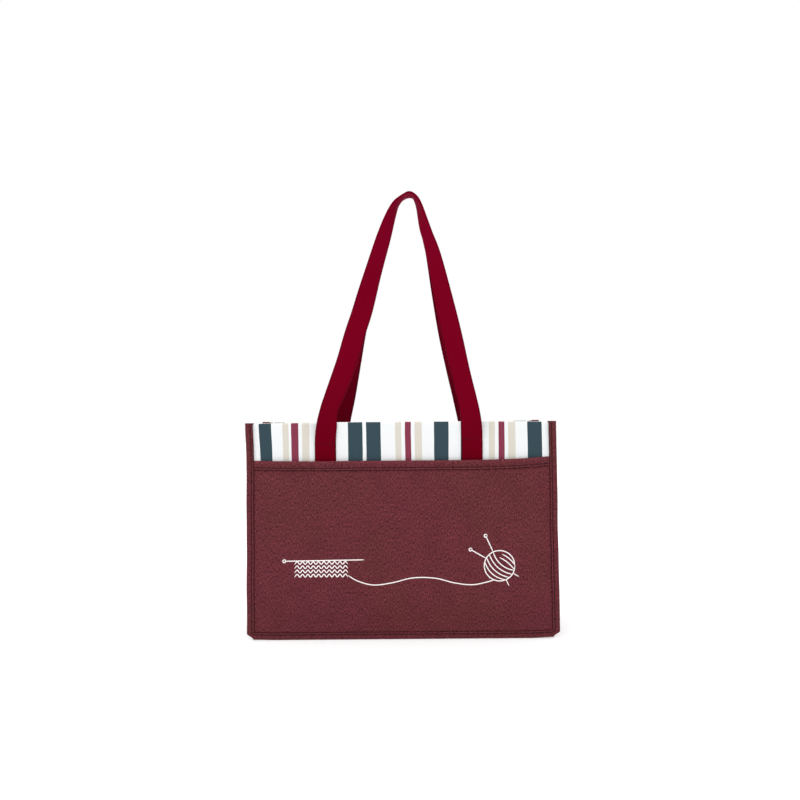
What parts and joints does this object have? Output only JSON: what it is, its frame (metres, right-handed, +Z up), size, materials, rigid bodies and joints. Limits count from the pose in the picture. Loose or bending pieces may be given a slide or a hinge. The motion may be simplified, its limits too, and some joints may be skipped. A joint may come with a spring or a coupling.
{
  "type": "knitting bag",
  "caption": "Stiffened knitting tote with gusseted sides, bound seams, a full-width slip pocket on each face and webbing carrying handles.",
  "frame": {"origin": "centre of the footprint, on the surface the bag stands on", "axes": "+X to the bag's right seen from the front, +Y towards its back, +Z up"},
  "size_m": [0.37, 0.1312, 0.5515],
  "materials": {
    "striped_canvas": "matt woven canvas",
    "marl_felt": "matt heathered weave",
    "binding_tape": "matt woven tape",
    "padding_foam": "matt foam",
    "base_board": "smooth board",
    "lining_cloth": "matt plain weave",
    "handle_webbing": "smooth fine twill"
  },
  "bodies": {
    "bag": {"front_panel": "striped_canvas", "back_panel": "striped_canvas", "front_pocket": "marl_felt", "back_pocket": "marl_felt", "left_gusset": "marl_felt", "right_gusset": "marl_felt", "base_panel": "marl_felt", "front_pocket_binding": "binding_tape", "back_pocket_binding": "binding_tape", "front_left_binding": "binding_tape", "front_right_binding": "binding_tape", "back_left_binding": "binding_tape", "back_right_binding": "binding_tape", "front_base_binding": "binding_tape", "back_base_binding": "binding_tape", "front_padding": "padding_foam", "back_padding": "padding_foam", "left_gusset_padding": "padding_foam", "right_gusset_padding": "padding_foam", "base_board": "base_board", "front_lining": "lining_cloth", "back_lining": "lining_cloth", "left_gusset_lining": "lining_cloth", "right_gusset_lining": "lining_cloth", "base_lining": "lining_cloth", "front_handle_left_end": "handle_webbing", "front_handle_right_end": "handle_webbing", "back_handle_left_end": "handle_webbing", "back_handle_right_end": "handle_webbing"},
    "front_handle": {"front_handle_loop": "handle_webbing"},
    "back_handle": {"back_handle_loop": "handle_webbing"}
  },
  "joints": [
    {"name": "front_handle_swing", "type": "hinge", "parent": "bag", "child": "front_handle", "pos_m": [0, -0.0603, 0.2402], "axis": [1, 0, 0], "range_deg": [0, 147]},
    {"name": "back_handle_swing", "type": "hinge", "parent": "bag", "child": "back_handle", "pos_m": [0, 0.0603, 0.2402], "axis": [1, 0, 0], "range_deg": [-145, 0]}
  ]
}
